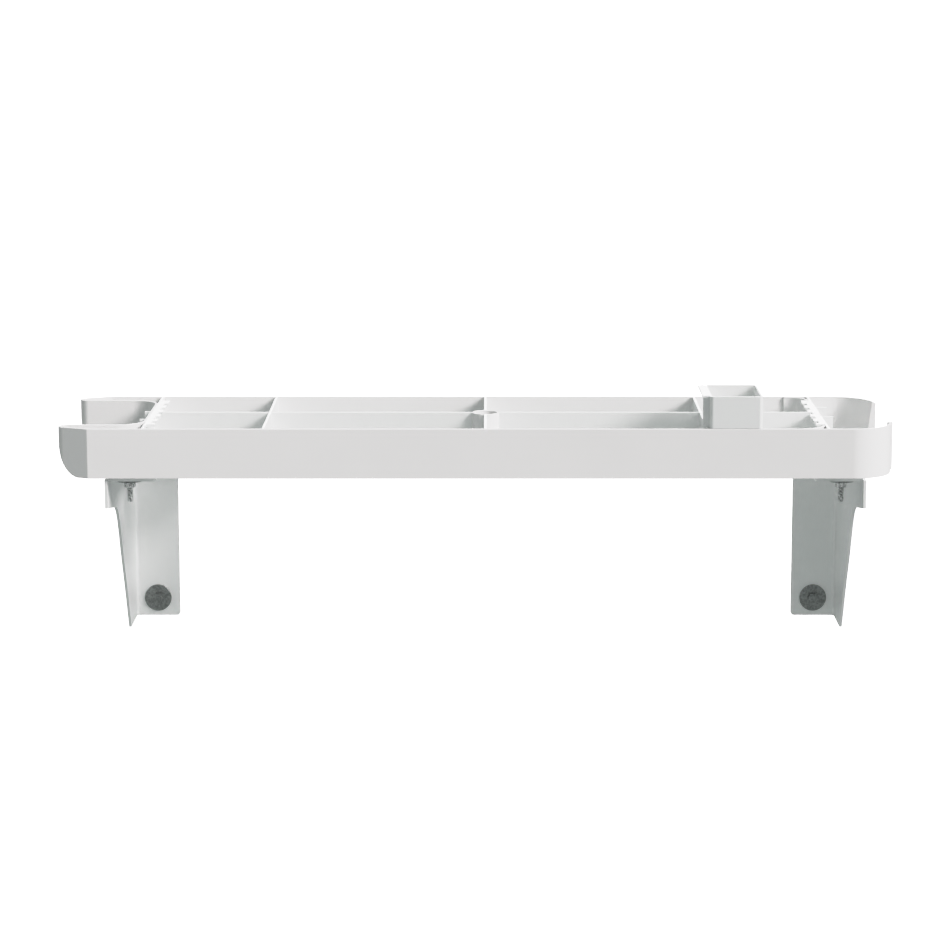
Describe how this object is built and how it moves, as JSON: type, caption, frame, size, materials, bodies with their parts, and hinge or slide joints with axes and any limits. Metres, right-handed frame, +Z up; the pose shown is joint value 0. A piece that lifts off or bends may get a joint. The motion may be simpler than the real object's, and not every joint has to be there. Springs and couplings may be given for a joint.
{
  "type": "wall mounted fold down drying rack",
  "caption": "Wall mounted drying rack of sheet metal rails and slats that folds up on rear hinge pins, on two shaped brackets, with a lift-off peg box.",
  "frame": {"origin": "centre of the four wall screws, on the wall plane", "axes": "+X to the right seen from the room, -Y out of the wall into the room, +Z up"},
  "size_m": [0.843, 0.298, 0.2791],
  "materials": {
    "white_powder_coat": "satin powder coat",
    "zinc_steel": "zinc plated, dull",
    "black_rubber": "matt",
    "white_nylon": "matt"
  },
  "bodies": {
    "wall_brackets": {"left_bracket": "white_powder_coat", "right_bracket": "white_powder_coat", "wall_screws": "zinc_steel", "wall_washers": "zinc_steel", "rest_bolts": "zinc_steel", "rest_bolt_washers": "zinc_steel", "rest_bolt_spring_washers": "zinc_steel", "rest_bolt_nuts": "zinc_steel", "rest_bumpers": "black_rubber", "hinge_pins": "zinc_steel", "pin_clips": "zinc_steel"},
    "rack": {"front_rail": "white_powder_coat", "rear_rail": "white_powder_coat", "recess_panel": "white_powder_coat", "left_comb": "white_powder_coat", "right_comb": "white_powder_coat", "right_front_corner_wall": "white_powder_coat", "right_rear_corner_wall": "white_powder_coat", "left_comb_fins": "white_powder_coat", "right_comb_fins": "white_powder_coat", "hub_tube": "white_powder_coat", "front_centre_slat": "white_powder_coat", "rear_centre_slat": "white_powder_coat", "left_mid_slat": "white_powder_coat", "right_mid_slat": "white_powder_coat", "left_cross_slat": "white_powder_coat", "right_cross_slat": "white_powder_coat", "left_rest_plate": "white_powder_coat", "right_rest_plate": "white_powder_coat", "left_hinge_lug": "white_powder_coat", "right_hinge_lug": "white_powder_coat", "hinge_bushes": "white_nylon"},
    "peg_box_body": {"peg_box": "white_powder_coat", "box_hanger": "white_powder_coat"}
  },
  "joints": [
    {"name": "rack_fold", "type": "hinge", "parent": "wall_brackets", "child": "rack", "pos_m": [0, -0.018, 0.1336], "axis": [-1, 0, 0], "range_deg": [0, 90]},
    {"name": "box_lift", "type": "slide", "parent": "rack", "child": "peg_box_body", "axis": [0, 0, 1], "range_m": [0, 0.045]}
  ]
}
